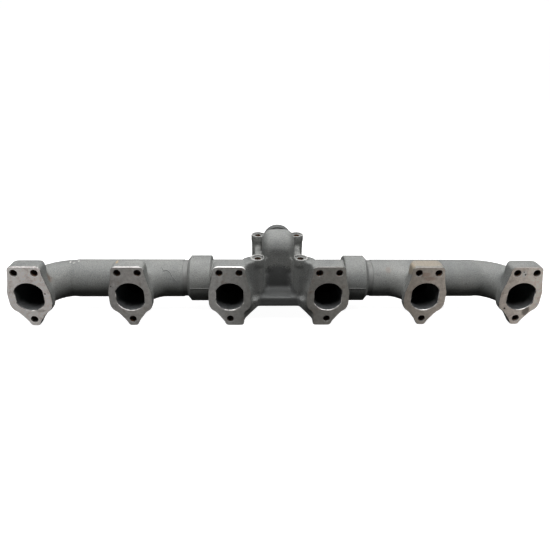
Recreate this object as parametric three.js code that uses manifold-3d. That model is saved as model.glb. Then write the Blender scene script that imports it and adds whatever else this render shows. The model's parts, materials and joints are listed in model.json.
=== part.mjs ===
// Three-piece cast-iron exhaust manifold for an in-line six-cylinder engine, in millimetres.
// Origin: on the cylinder-head joint plane, midway between the two middle ports, at port height.
// +X runs along the engine, +Y points away from the head, +Z is up.
import * as THREE from 'three';
import { mergeVertices } from 'three/addons/utils/BufferGeometryUtils.js';
import Module from 'manifold-3d';

const wasm = await Module();
wasm.setup();

// ---- Cylinder-head joint ----
const PORT_PITCH = 165;            // between neighbouring exhaust ports
const PORT_WIDTH = 46;             // across the flats of a port opening
const PORT_RADIUS = 25.5;          // round top and bottom of a port opening
const FLANGE_THICK = 15;           // port flange and its lower lug
const BOLT_BLOCK_DEPTH = 28.5;     // long bolt bosses along the top of each port flange
const BOLT_BLOCK_FOOT = 20;        // height at which that block leaves the flange
const BOLT_BLOCK_HEEL = 35;        // height of its lower back edge
const BOLT_BLOCK_HALF_WIDTH = 29;
const BOLT_BLOCK_CORNER = 12;      // upright back corners
const HEAD_BOLT_HOLE = 11;         // bolt hole diameter
const UPPER_BOLT_X = 16.4;         // upper bolts each side of the port
const UPPER_BOLT_Z = 44.5;
const LOWER_BOLT_Z = -42.5;
const LOWER_BOSS_RADIUS = 11.3;    // round boss behind the lower bolt hole
const LOWER_BOSS_DEPTH = 23;       // from the head face

// ---- Port flange outline ----
const FLANGE_TOP = 56;
const TOP_HALF_WIDTH = 27.5;
const TOP_CORNER = 10;
const WAIST_HALF_WIDTH = 30;       // pull of the hollow side above the port
const WAIST_Z = 28;
const SIDE_SHOULDER_Z = 8;         // where the sides reach their full width
const FLANGE_HALF_WIDTH = 36;
const SIDE_FOOT_Z = -9;
const LUG_ROOT_X = 24.5;           // where the port outline meets the lower lug
const LUG_ROOT_Z = -29;
const LUG_TIP_X = 8;
const LUG_TIP_Z = -56;
const LUG_CORNER = 4;
const SQUARE_LUG_X = 23.5;         // inner side of the two middle lugs, which is straight

// ---- Collecting pipe ----
const LOG_Y = 70;                  // pipe axis behind the head face
const LOG_RADIUS = 33.3;
const LOG_BORE = 26.5;             // bore radius
const ELBOW_REACH = 58;            // end and second ports: how far along the pipe a runner turns in
const MIDDLE_ELBOW_REACH = 49;     // same for the two middle ports
const ELBOW_FULLNESS = 0.58;       // how square the runner's bend is
const RUNNER_RADIUS = 31.9;

// ---- Slip joints ----
const COLLAR_RADIUS = 40.5;
const COLLAR_INNER_X = 117;        // step where the collar starts
const COLLAR_LENGTH = 41;
const COLLAR_CHAMFER_LENGTH = 5.3;
const COLLAR_CHAMFER_DEPTH = 6.4;
const SOCKET_RADIUS = 32.8;
const SOCKET_DEPTH = 36.5;
const SLIP_END_GAP = 3;            // cold gap between spigot tip and socket floor
const RUNNING_GAP = 0.3;           // between pieces that touch or slide
const RING_PROUD = 0.4;            // how far a ring stands out of its groove
const SPIGOT_SHOWN = 8.5;          // turned band left outside the collar
const RING_WIDTH = 3;
const RING_SECTION = 2.8;          // radial thickness
const RING_COUNT = 3;
const RING_PITCH = 8;
const FIRST_RING_FROM_TIP = 7;
const RING_SPLIT = 1.6;

// ---- Turbocharger flange and middle body ----
const TURBO_BOLT_X = 35.6;         // half the bolt spacing along the engine
const TURBO_BOLT_SPACING_Y = 101;
const TURBO_CENTRE_Y = 74;
const TURBO_FACE_Z = -22;
const TURBO_PLATE_THICK = 15;
const TURBO_PLATE_MARGIN = 13;     // plate material outside the bolt centres
const COLUMN_RADIUS = 12.3;
const COLUMN_TOP_Z = 62;
const COLUMN_HOLE_RADIUS = 5.5;
const SPOT_FACE_RADIUS = 9.6;
const SPOT_FACE_DEPTH = 2;
const THROAT_HALF_WIDTH = 26;
const THROAT_FRONT_Y = 51;
const THROAT_BACK_Y = 103;
const THROAT_CORNER = 8;
const DIVIDER_THICK = 7;
const DIVIDER_TOP_Z = 26;
const FLOOR_Z = -15;               // passage floor above the turbocharger flange
const FLOOR_END_X = 54;
const POCKET_HALF_WIDTH = 24.5;    // recess between the two front columns
const POCKET_BACK_Y = 44;
const POCKET_CORNER = 9;
const WING_TOP_Z = 61;             // walls that tie the front columns to the middle ports
const WING_BEND_X = 50;            // where its top starts to fall towards the port
const WING_BEND_TOP_Z = 59;
const WING_OUTER_X = 61;
const WING_OUTER_TOP_Z = 54;
const WING_FRONT_Y = 7;
const WING_FULLNESS = 1;           // how far the front wall is pulled ahead of the column
const WING_BACK_Y = 34;            // where the top of the wall starts to fall towards the pipe
const REAR_WEB_TOP_Z = 40;
const REAR_WEB_HALF_THICK = 6;

// ---- Dome and rear outlet ----
const DOME_HALF_WIDTH = 29;
const DOME_HALF_DEPTH = 31;
const DOME_SHOULDER_Z = 60;
const DOME_CAP_HEIGHT = 30;
const DOME_SQUARENESS = 0.43;      // 1 is a plain oval across the engine, less is fuller shoulders
const DOME_WALL = 6.5;
const OUTLET_Z = 53.8;
const OUTLET_NECK_RADIUS = 22;
const OUTLET_FLANGE_RADIUS = 25.6;
const OUTLET_FLANGE_THICK = 12;
const OUTLET_FACE_Y = 131;
const OUTLET_BORE = 16;

// ---- Facets ----
const PIPE_SIDES = 32;
const COLUMN_SIDES = 24;
const HOLE_SIDES = 16;
const BEND_STEPS = 8;
const CORNER_STEPS = 4;
const RUNNER_ARC_STEPS = 12;
const PASSAGE_ARC_STEPS = 4;
const CAP_STEPS = 7;
const OVERCUT = 2;                 // cutters run past the faces they cut
const OVERLAP = 1;                 // joined shapes run this far into each other

const iron = { color: 0x8f8d86, roughness: 0.75, metalness: 0.6 };
const steel = { color: 0x6d6a66, roughness: 0.4, metalness: 0.9 };

// A closed three.js geometry as a solid that can be joined and cut.
function solid(geometry) {
  const bare = geometry.index ? geometry.toNonIndexed() : geometry.clone();
  bare.deleteAttribute('normal');
  bare.deleteAttribute('uv');
  const merged = mergeVertices(bare, 1e-4);
  return new wasm.Manifold(new wasm.Mesh({
    numProp: 3,
    vertProperties: new Float32Array(merged.attributes.position.array),
    triVerts: new Uint32Array(merged.index.array),
  }));
}

// A finished solid as a named mesh.
function piece(name, body, finish) {
  const result = body.getMesh();
  const geometry = new THREE.BufferGeometry();
  geometry.setAttribute('position', new THREE.BufferAttribute(result.vertProperties, 3));
  geometry.setIndex(new THREE.BufferAttribute(result.triVerts, 1));
  geometry.computeVertexNormals();
  const mesh = new THREE.Mesh(geometry, new THREE.MeshStandardMaterial(finish));
  mesh.name = name;
  return mesh;
}

const joined = (bodies) => bodies.reduce((whole, body) => whole.add(body));
const cutBy = (body, cutters) => cutters.reduce((rest, cutter) => rest.subtract(cutter), body);

function box(x0, x1, y0, y1, z0, z1) {
  const geometry = new THREE.BoxGeometry(x1 - x0, y1 - y0, z1 - z0);
  geometry.translate((x0 + x1) / 2, (y0 + y1) / 2, (z0 + z1) / 2);
  return solid(geometry);
}

// Round bars along each axis, from one face to the other.
function barAlongX(radius, x0, x1, y, z, sides = PIPE_SIDES) {
  const geometry = new THREE.CylinderGeometry(radius, radius, x1 - x0, sides);
  geometry.rotateZ(Math.PI / 2);
  geometry.translate((x0 + x1) / 2, y, z);
  return solid(geometry);
}

function barAlongY(radius, y0, y1, x, z, sides = HOLE_SIDES) {
  const geometry = new THREE.CylinderGeometry(radius, radius, y1 - y0, sides);
  geometry.translate(x, (y0 + y1) / 2, z);
  return solid(geometry);
}

function barAlongZ(radius, z0, z1, x, y, sides = COLUMN_SIDES) {
  const geometry = new THREE.CylinderGeometry(radius, radius, z1 - z0, sides);
  geometry.rotateX(Math.PI / 2);
  geometry.translate(x, y, (z0 + z1) / 2);
  return solid(geometry);
}

// An outline drawn in X and Z, given depth from y0 to y1.
function uprightPlate(shape, y0, y1) {
  const geometry = new THREE.ExtrudeGeometry(shape, {
    depth: y1 - y0, bevelEnabled: false, curveSegments: CORNER_STEPS,
  });
  geometry.rotateX(Math.PI / 2);
  geometry.translate(0, y1, 0);
  return solid(geometry);
}

// An outline drawn in X and Y, given height from z0 to z1.
function flatPlate(shape, z0, z1) {
  const geometry = new THREE.ExtrudeGeometry(shape, {
    depth: z1 - z0, bevelEnabled: false, curveSegments: CORNER_STEPS,
  });
  geometry.translate(0, 0, z0);
  return solid(geometry);
}

// An outline drawn in Y and Z, given width from x0 to x1.
function sidePlate(shape, x0, x1) {
  const geometry = new THREE.ExtrudeGeometry(shape, {
    depth: x1 - x0, bevelEnabled: false, curveSegments: CORNER_STEPS,
  });
  geometry.rotateX(Math.PI / 2);
  geometry.rotateZ(Math.PI / 2);
  geometry.translate(x0, 0, 0);
  return solid(geometry);
}

function polygon(corners) {
  return new THREE.Shape(corners.map(([across, up]) => new THREE.Vector2(across, up)));
}

function roundedRectangle(x0, x1, y0, y1, corner) {
  const shape = new THREE.Shape();
  shape.moveTo(x0 + corner, y0);
  shape.lineTo(x1 - corner, y0);
  shape.absarc(x1 - corner, y0 + corner, corner, -Math.PI / 2, 0);
  shape.absarc(x1 - corner, y1 - corner, corner, 0, Math.PI / 2);
  shape.absarc(x0 + corner, y1 - corner, corner, Math.PI / 2, Math.PI);
  shape.absarc(x0 + corner, y0 + corner, corner, Math.PI, Math.PI * 1.5);
  return shape;
}

// One side of a port flange, from the middle of its top edge to the middle of its lower edge.
function flangeEdge(squareLug) {
  const edge = new THREE.Path();
  edge.moveTo(0, FLANGE_TOP);
  edge.lineTo(TOP_HALF_WIDTH - TOP_CORNER, FLANGE_TOP);
  edge.quadraticCurveTo(TOP_HALF_WIDTH, FLANGE_TOP, TOP_HALF_WIDTH, FLANGE_TOP - TOP_CORNER);
  edge.quadraticCurveTo(WAIST_HALF_WIDTH, WAIST_Z, FLANGE_HALF_WIDTH, SIDE_SHOULDER_Z);
  edge.lineTo(FLANGE_HALF_WIDTH, SIDE_FOOT_Z);
  edge.quadraticCurveTo(FLANGE_HALF_WIDTH, LUG_ROOT_Z + LUG_CORNER, LUG_ROOT_X, LUG_ROOT_Z);
  if (squareLug) {
    edge.lineTo(SQUARE_LUG_X, LUG_ROOT_Z - LUG_CORNER);
    edge.lineTo(SQUARE_LUG_X, LUG_TIP_Z + LUG_CORNER);
    edge.quadraticCurveTo(SQUARE_LUG_X, LUG_TIP_Z, SQUARE_LUG_X - LUG_CORNER, LUG_TIP_Z);
  } else {
    edge.lineTo(LUG_TIP_X + LUG_CORNER / 2, LUG_TIP_Z + LUG_CORNER * 2);
    edge.quadraticCurveTo(LUG_TIP_X, LUG_TIP_Z, LUG_TIP_X - LUG_CORNER, LUG_TIP_Z);
  }
  edge.lineTo(0, LUG_TIP_Z);
  return edge.getPoints(CORNER_STEPS);
}

// The whole outline; squareSide is -1, 0 or 1 for the side whose lug is straight.
function flangeOutline(squareSide) {
  const right = flangeEdge(squareSide > 0);
  const left = flangeEdge(squareSide < 0).reverse().map((point) => new THREE.Vector2(-point.x, point.y));
  return new THREE.Shape([...right, ...left.slice(1, -1)]);
}

// Section of a port passage: round above and below, flat at the sides. Drawn height first.
function portSection() {
  const half = Math.asin(PORT_WIDTH / 2 / PORT_RADIUS);
  const shape = new THREE.Shape();
  shape.absarc(0, 0, PORT_RADIUS, -half, half);
  shape.absarc(0, 0, PORT_RADIUS, Math.PI - half, Math.PI + half);
  return shape;
}

// Centre line of a runner: square out of the port, then round into the collecting pipe.
// It starts the given lead ahead of the head face.
function runnerLine(portX, towards, reach, lead) {
  const along = ELBOW_FULLNESS * reach;
  return new THREE.CubicBezierCurve3(
    new THREE.Vector3(portX, -lead, 0),
    new THREE.Vector3(portX, LOG_Y * ELBOW_FULLNESS, 0),
    new THREE.Vector3(portX + towards * (reach - along), LOG_Y, 0),
    new THREE.Vector3(portX + towards * reach, LOG_Y, 0),
  );
}

function sweep(section, line, arcSteps) {
  return solid(new THREE.ExtrudeGeometry(section, {
    steps: BEND_STEPS, extrudePath: line, bevelEnabled: false, curveSegments: arcSteps,
  }));
}

function circleSection(radius) {
  return new THREE.Shape().absarc(0, 0, radius, 0, Math.PI * 2);
}

// Bolt block behind the top of a flange: round back corners and a sloping underside.
function boltBlock(outline) {
  const plan = roundedRectangle(
    -BOLT_BLOCK_HALF_WIDTH, BOLT_BLOCK_HALF_WIDTH, -BOLT_BLOCK_DEPTH, BOLT_BLOCK_DEPTH, BOLT_BLOCK_CORNER,
  );
  const side = polygon([
    [FLANGE_THICK / 2, BOLT_BLOCK_FOOT],
    [FLANGE_THICK, BOLT_BLOCK_FOOT],
    [BOLT_BLOCK_DEPTH + OVERLAP, BOLT_BLOCK_HEEL],
    [BOLT_BLOCK_DEPTH + OVERLAP, FLANGE_TOP + OVERLAP],
    [FLANGE_THICK / 2, FLANGE_TOP + OVERLAP],
  ]);
  return uprightPlate(outline, 0, BOLT_BLOCK_DEPTH)
    .intersect(flatPlate(plan, BOLT_BLOCK_FOOT, FLANGE_TOP + OVERLAP))
    .intersect(sidePlate(side, -FLANGE_HALF_WIDTH, FLANGE_HALF_WIDTH));
}

// Material of one port: flange, bolt block, runner and lower boss.
function portBody(portX, towards, reach, squareSide) {
  const outline = flangeOutline(squareSide);
  const flange = uprightPlate(outline, 0, FLANGE_THICK).add(boltBlock(outline)).translate([portX, 0, 0]);
  const line = runnerLine(portX, towards, reach, -FLANGE_THICK / 2);
  return joined([
    flange,
    sweep(circleSection(RUNNER_RADIUS), line, RUNNER_ARC_STEPS),
    barAlongY(LOWER_BOSS_RADIUS, FLANGE_THICK / 2, LOWER_BOSS_DEPTH, portX, LOWER_BOLT_Z, COLUMN_SIDES),
  ]);
}

// What is taken out of one port: gas passage and three bolt holes.
function portCuts(portX, towards, reach) {
  const bolt = HEAD_BOLT_HOLE / 2;
  const back = BOLT_BLOCK_DEPTH + OVERCUT;
  return [
    sweep(portSection(), runnerLine(portX, towards, reach, OVERCUT), PASSAGE_ARC_STEPS),
    barAlongY(bolt, -OVERCUT, back, portX - UPPER_BOLT_X, UPPER_BOLT_Z),
    barAlongY(bolt, -OVERCUT, back, portX + UPPER_BOLT_X, UPPER_BOLT_Z),
    barAlongY(bolt, -OVERCUT, back, portX, LOWER_BOLT_Z),
  ];
}

// ---- Slip joint sizes that follow from the values above ----
const COLLAR_OUTER_X = COLLAR_INNER_X + COLLAR_LENGTH;
const SOCKET_FLOOR_X = COLLAR_OUTER_X - SOCKET_DEPTH;
const SPIGOT_TIP_X = SOCKET_FLOOR_X + SLIP_END_GAP;
const SPIGOT_END_X = COLLAR_OUTER_X + SPIGOT_SHOWN;
const RING_OUTER = SOCKET_RADIUS - RUNNING_GAP;
const RING_INNER = RING_OUTER - RING_SECTION;
const SPIGOT_RADIUS = RING_OUTER - RING_PROUD;
const GROOVE_RADIUS = RING_INNER - RUNNING_GAP;
const ringX = (index) => SPIGOT_TIP_X + FIRST_RING_FROM_TIP + index * RING_PITCH;

// ---- Where the ports stand: half, one and a half and two and a half pitches from the middle ----
const MIDDLE_PORT_X = PORT_PITCH / 2;
const INNER_PORT_X = MIDDLE_PORT_X + PORT_PITCH;
const OUTER_PORT_X = INNER_PORT_X + PORT_PITCH;

// A round body turned on the pipe axis from (distance along X, radius) pairs.
function turned(profile, sides = PIPE_SIDES) {
  const points = profile.map(([x, radius]) => new THREE.Vector2(radius, x));
  const geometry = new THREE.LatheGeometry(points, sides);
  geometry.rotateZ(-Math.PI / 2);
  geometry.translate(0, LOG_Y, 0);
  return solid(geometry);
}

// ---- End section, drawn on the +X side ----
function endSection() {
  const pipe = barAlongX(LOG_RADIUS, SPIGOT_END_X, OUTER_PORT_X - ELBOW_REACH, LOG_Y, 0);
  const spigot = barAlongX(SPIGOT_RADIUS, SPIGOT_TIP_X, SPIGOT_END_X + OVERLAP, LOG_Y, 0);
  const body = joined([
    pipe,
    spigot,
    portBody(OUTER_PORT_X, -1, ELBOW_REACH, 0),
    portBody(INNER_PORT_X, -1, ELBOW_REACH, 0),
  ]);
  const grooves = Array.from({ length: RING_COUNT }, (_, index) => {
    const half = RING_WIDTH / 2 + RUNNING_GAP;
    const x = ringX(index);
    return barAlongX(LOG_RADIUS, x - half, x + half, LOG_Y, 0)
      .subtract(barAlongX(GROOVE_RADIUS, x - RING_WIDTH, x + RING_WIDTH, LOG_Y, 0));
  });
  return cutBy(body, [
    barAlongX(LOG_BORE, SPIGOT_TIP_X - OVERCUT, OUTER_PORT_X - ELBOW_REACH, LOG_Y, 0),
    ...portCuts(OUTER_PORT_X, -1, ELBOW_REACH),
    ...portCuts(INNER_PORT_X, -1, ELBOW_REACH),
    ...grooves,
  ]);
}

// One split sealing ring, its gap turned round from ring to ring.
function sealRing(index) {
  const half = RING_WIDTH / 2;
  const x = ringX(index);
  const ring = turned([
    [x - half, RING_INNER], [x - half, RING_OUTER], [x + half, RING_OUTER],
    [x + half, RING_INNER], [x - half, RING_INNER],
  ]);
  const gap = new THREE.BoxGeometry(RING_WIDTH + OVERCUT, RING_SPLIT, RING_SECTION + OVERCUT);
  gap.translate(0, 0, (RING_INNER + RING_OUTER) / 2);
  gap.rotateX((index * 2 * Math.PI) / RING_COUNT);
  gap.translate(x, LOG_Y, 0);
  return ring.subtract(solid(gap));
}

// ---- Middle section ----
const TURBO_FRONT_Y = TURBO_CENTRE_Y - TURBO_BOLT_SPACING_Y / 2;
const TURBO_BACK_Y = TURBO_CENTRE_Y + TURBO_BOLT_SPACING_Y / 2;
const turboBolts = [-1, 1].flatMap((side) => [
  [side * TURBO_BOLT_X, TURBO_FRONT_Y],
  [side * TURBO_BOLT_X, TURBO_BACK_Y],
]);

function collar(side) {
  const half = turned([
    [COLLAR_INNER_X, 0],
    [COLLAR_INNER_X, COLLAR_RADIUS],
    [COLLAR_OUTER_X - COLLAR_CHAMFER_LENGTH, COLLAR_RADIUS],
    [COLLAR_OUTER_X, COLLAR_RADIUS - COLLAR_CHAMFER_DEPTH],
    [COLLAR_OUTER_X, 0],
  ]);
  return side > 0 ? half : half.mirror([1, 0, 0]);
}

// Domed chamber above the turbocharger flange; shrink is the wall left outside a hollow one.
function dome(shrink, footZ) {
  const width = DOME_HALF_WIDTH - shrink;
  const depth = DOME_HALF_DEPTH - shrink;
  const profile = [new THREE.Vector2(0, footZ)];
  for (let step = 0; step <= CAP_STEPS; step += 1) {
    const angle = (Math.PI / 2) * (step / CAP_STEPS);
    const height = DOME_SHOULDER_Z + (DOME_CAP_HEIGHT - shrink) * Math.sin(angle);
    profile.push(new THREE.Vector2(step === CAP_STEPS ? 0 : Math.cos(angle), height));
  }
  profile.splice(1, 0, new THREE.Vector2(1, footZ));
  const geometry = new THREE.LatheGeometry(profile, PIPE_SIDES);
  geometry.rotateX(Math.PI / 2);
  const { position } = geometry.attributes;
  for (let index = 0; index < position.count; index += 1) {
    const across = position.getX(index);
    position.setX(index, Math.sign(across) * Math.abs(across) ** DOME_SQUARENESS);
  }
  geometry.scale(width, depth, 1);
  geometry.translate(0, TURBO_CENTRE_Y, 0);
  return solid(geometry);
}

// Wall from a middle port flange round the front column to the pipe: its plan, cut to the slope of
// its top along the engine and to its fall towards the pipe.
function wing(side) {
  const shape = new THREE.Shape();
  const frontY = TURBO_FRONT_Y - COLUMN_RADIUS - WING_FULLNESS;
  shape.moveTo(side * WING_OUTER_X, WING_FRONT_Y);
  shape.quadraticCurveTo(side * TURBO_BOLT_X, frontY, side * POCKET_HALF_WIDTH, TURBO_FRONT_Y);
  shape.lineTo(side * POCKET_HALF_WIDTH, LOG_Y);
  shape.lineTo(side * WING_OUTER_X, LOG_Y);
  const alongTop = polygon([
    [0, TURBO_FACE_Z],
    [side * WING_OUTER_X, TURBO_FACE_Z],
    [side * WING_OUTER_X, WING_OUTER_TOP_Z],
    [side * WING_BEND_X, WING_BEND_TOP_Z],
    [side * TURBO_BOLT_X, WING_TOP_Z],
    [0, WING_TOP_Z],
  ]);
  const fall = polygon([
    [0, TURBO_FACE_Z],
    [LOG_Y, TURBO_FACE_Z],
    [LOG_Y, FLOOR_Z],
    [WING_BACK_Y, WING_TOP_Z],
    [0, WING_TOP_Z],
  ]);
  return flatPlate(shape, TURBO_FACE_Z, WING_TOP_Z)
    .intersect(uprightPlate(alongTop, 0, LOG_Y))
    .intersect(sidePlate(fall, -WING_OUTER_X, WING_OUTER_X));
}

// Web that carries a middle port's lower lug from the turbocharger flange.
function gusset(side) {
  const lugX = MIDDLE_PORT_X - SQUARE_LUG_X;
  const shape = new THREE.Shape();
  shape.moveTo(side * TURBO_BOLT_X, TURBO_FACE_Z + TURBO_PLATE_THICK);
  shape.lineTo(side * (lugX + LUG_CORNER), TURBO_FACE_Z + LUG_CORNER);
  shape.lineTo(side * (lugX + LUG_CORNER), LUG_TIP_Z + LUG_CORNER);
  shape.quadraticCurveTo(side * (lugX - LUG_CORNER), LOWER_BOLT_Z, side * TURBO_BOLT_X, TURBO_FACE_Z);
  return uprightPlate(shape, LUG_CORNER, FLANGE_THICK + LUG_CORNER);
}

// Web between a rear column and the middle of the pipe.
function rearWeb(side) {
  const x = side * TURBO_BOLT_X;
  return box(
    x - REAR_WEB_HALF_THICK, x + REAR_WEB_HALF_THICK, LOG_Y, TURBO_BACK_Y, TURBO_FACE_Z, REAR_WEB_TOP_Z,
  );
}

function turboPlate() {
  const reachX = TURBO_BOLT_X + TURBO_PLATE_MARGIN;
  const shape = roundedRectangle(
    -reachX, reachX, TURBO_FRONT_Y - TURBO_PLATE_MARGIN, TURBO_BACK_Y + TURBO_PLATE_MARGIN,
    TURBO_PLATE_MARGIN,
  );
  return flatPlate(shape, TURBO_FACE_Z, TURBO_FACE_Z + TURBO_PLATE_THICK);
}

// Everything the gas passes through in the middle body.
function middleHollow() {
  const pipe = barAlongX(LOG_BORE, -SOCKET_FLOOR_X - OVERLAP, SOCKET_FLOOR_X + OVERLAP, LOG_Y, 0);
  const underFloor = box(-FLOOR_END_X, FLOOR_END_X, 0, TURBO_BACK_Y, -LOG_RADIUS, FLOOR_Z);
  const aheadOfThroat = box(
    -THROAT_HALF_WIDTH - DOME_WALL, THROAT_HALF_WIDTH + DOME_WALL,
    0, THROAT_FRONT_Y, -LOG_RADIUS, COLUMN_TOP_Z,
  );
  const throat = flatPlate(
    roundedRectangle(-THROAT_HALF_WIDTH, THROAT_HALF_WIDTH, THROAT_FRONT_Y, THROAT_BACK_Y, THROAT_CORNER),
    TURBO_FACE_Z - OVERCUT, 0,
  );
  const chamber = dome(DOME_WALL, FLOOR_Z);
  const outlet = barAlongY(
    OUTLET_BORE, TURBO_CENTRE_Y, OUTLET_FACE_Y + OVERCUT, 0, OUTLET_Z, COLUMN_SIDES,
  );
  const divider = box(
    -DIVIDER_THICK / 2, DIVIDER_THICK / 2, 0, TURBO_BACK_Y,
    TURBO_FACE_Z - OVERCUT - OVERLAP, DIVIDER_TOP_Z,
  );
  const flows = cutBy(joined([cutBy(pipe, [underFloor]), chamber]), [aheadOfThroat]);
  return joined([flows, throat, outlet]).subtract(divider);
}

function middleSection() {
  const columns = turboBolts.map(([x, y]) => barAlongZ(COLUMN_RADIUS, TURBO_FACE_Z, COLUMN_TOP_Z, x, y));
  const outside = joined([
    barAlongX(LOG_RADIUS, -COLLAR_INNER_X - OVERLAP, COLLAR_INNER_X + OVERLAP, LOG_Y, 0),
    portBody(MIDDLE_PORT_X, -1, MIDDLE_ELBOW_REACH, -1),
    portBody(-MIDDLE_PORT_X, 1, MIDDLE_ELBOW_REACH, 1),
    wing(1),
    wing(-1),
    dome(0, TURBO_FACE_Z),
    barAlongY(OUTLET_NECK_RADIUS, TURBO_CENTRE_Y, OUTLET_FACE_Y - OVERLAP, 0, OUTLET_Z, COLUMN_SIDES),
  ]);
  // The turbocharger flange is faced off below the pipe, and the pocket opens between the columns.
  const facedHalf = TURBO_BOLT_X + TURBO_PLATE_MARGIN + OVERLAP;
  const facedBackY = TURBO_BACK_Y + TURBO_PLATE_MARGIN + OVERLAP;
  const faced = box(-facedHalf, facedHalf, FLANGE_THICK, facedBackY, LUG_TIP_Z, TURBO_FACE_Z);
  const pocket = flatPlate(
    roundedRectangle(
      -POCKET_HALF_WIDTH, POCKET_HALF_WIDTH, -POCKET_BACK_Y, POCKET_BACK_Y, POCKET_CORNER,
    ),
    TURBO_FACE_Z + TURBO_PLATE_THICK, DOME_SHOULDER_Z + DOME_CAP_HEIGHT + OVERCUT,
  );
  const body = joined([
    cutBy(outside, [faced, pocket]),
    turboPlate(),
    ...columns,
    rearWeb(1),
    rearWeb(-1),
    gusset(1),
    gusset(-1),
    collar(1),
    collar(-1),
    barAlongY(
      OUTLET_FLANGE_RADIUS, OUTLET_FACE_Y - OUTLET_FLANGE_THICK, OUTLET_FACE_Y, 0, OUTLET_Z, PIPE_SIDES,
    ),
  ]);
  const sockets = [-1, 1].map((side) => {
    const inner = side * SOCKET_FLOOR_X;
    const outer = side * (COLLAR_OUTER_X + OVERCUT);
    return barAlongX(SOCKET_RADIUS, Math.min(inner, outer), Math.max(inner, outer), LOG_Y, 0);
  });
  const boltCuts = turboBolts.flatMap(([x, y]) => [
    barAlongZ(COLUMN_HOLE_RADIUS, TURBO_FACE_Z - OVERCUT, COLUMN_TOP_Z + OVERCUT, x, y, HOLE_SIDES),
    barAlongZ(SPOT_FACE_RADIUS, COLUMN_TOP_Z - SPOT_FACE_DEPTH, COLUMN_TOP_Z + OVERCUT, x, y),
  ]);
  return cutBy(body, [
    middleHollow(),
    ...sockets,
    ...portCuts(MIDDLE_PORT_X, -1, MIDDLE_ELBOW_REACH),
    ...portCuts(-MIDDLE_PORT_X, 1, MIDDLE_ELBOW_REACH),
    ...boltCuts,
  ]);
}

// ---- Assembly ----
const manifold = new THREE.Group();
manifold.add(piece('center_section', middleSection(), iron));

const rightEnd = endSection();
const sides = [
  { name: 'right', flip: (body) => body },
  { name: 'left', flip: (body) => body.mirror([1, 0, 0]) },
];
for (const { name, flip } of sides) {
  manifold.add(piece(`${name}_end_section`, flip(rightEnd), iron));
  for (let index = 0; index < RING_COUNT; index += 1) {
    manifold.add(piece(`${name}_seal_ring_${index + 1}`, flip(sealRing(index)), steel));
  }
}

export default manifold;
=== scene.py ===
import json
import math

import bmesh
import bpy
from mathutils import Matrix, Vector


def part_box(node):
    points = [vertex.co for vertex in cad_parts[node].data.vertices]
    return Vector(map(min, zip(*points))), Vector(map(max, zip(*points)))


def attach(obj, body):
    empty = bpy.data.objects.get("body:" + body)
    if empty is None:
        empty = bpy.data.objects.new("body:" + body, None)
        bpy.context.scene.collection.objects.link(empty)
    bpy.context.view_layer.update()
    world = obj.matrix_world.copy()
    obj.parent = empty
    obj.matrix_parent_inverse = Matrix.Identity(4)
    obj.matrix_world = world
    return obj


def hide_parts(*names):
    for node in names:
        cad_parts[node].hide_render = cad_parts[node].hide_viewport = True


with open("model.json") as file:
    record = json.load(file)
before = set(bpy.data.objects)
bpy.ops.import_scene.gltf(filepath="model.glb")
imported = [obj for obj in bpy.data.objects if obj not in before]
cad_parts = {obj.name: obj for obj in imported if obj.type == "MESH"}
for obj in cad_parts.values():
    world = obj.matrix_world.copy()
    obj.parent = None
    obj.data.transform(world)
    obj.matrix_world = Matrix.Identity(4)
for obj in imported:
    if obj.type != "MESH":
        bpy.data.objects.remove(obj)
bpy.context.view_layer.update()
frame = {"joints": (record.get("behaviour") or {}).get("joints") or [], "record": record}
record = frame["record"]
mounts = {row["name"]: row for row in record["mounts"]}
joints = {row["name"]: row for row in frame["joints"]}

MM = 0.001

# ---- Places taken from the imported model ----
PIPE_Y = joints["right_swivel"]["pos_m"][1]
PORT_X = [mounts[f"port_face_{number}"]["pos_m"][0] for number in range(1, 7)]
PITCH = PORT_X[1] - PORT_X[0]
TURBO_FACE_Z = mounts["turbo_flange_face"]["pos_m"][2]
SEAT_Z = mounts["turbo_bolt_seat_1"]["pos_m"][2]
OUTLET_FACE_Y = mounts["rear_outlet_face"]["pos_m"][1]
middle_low, middle_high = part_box("center_section")
end_low, end_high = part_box("right_end_section")
COLLAR_END_X = middle_high.x
SPIGOT_TIP_X = end_low.x
FLANGE_TOP_Z = end_high.z
FLANGE_FOOT_Z = end_low.z

# ---- Port flanges ----
HALF_TOP = 27.5 * MM
HALF_WIDEST = 36 * MM
TOP_CORNER = 10 * MM
WAIST = (30 * MM, 28 * MM)
SHOULDER_Z = 8 * MM
SIDE_FOOT_Z = -9 * MM
LUG_ROOT = (24.5 * MM, -29 * MM)
LUG_TIP_X = 8 * MM
LUG_CORNER = 4 * MM
SQUARE_LUG_X = 23.5 * MM
FLANGE_THICK = 15 * MM
BLOCK_DEPTH = 28.5 * MM
BLOCK_FOOT_Z = 20 * MM
BLOCK_HEEL_Z = 35 * MM
BLOCK_CORNER = 12 * MM
BOLT_HOLE = 5.5 * MM
UPPER_BOLT = (16.4 * MM, 44.5 * MM)
LOWER_BOLT_Z = -42.5 * MM
LOWER_BOSS = (11.3 * MM, 23 * MM)  # radius and depth from the head face
PORT_ROUND = 25.5 * MM
PORT_HALF_WIDTH = 23 * MM

# ---- Pipe and runners ----
PIPE_R = 33.3 * MM
PIPE_BORE = 26.5 * MM
RUNNER_R = 32.4 * MM
BEND_R = 58 * MM
MIDDLE_BEND_R = 49 * MM

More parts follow.
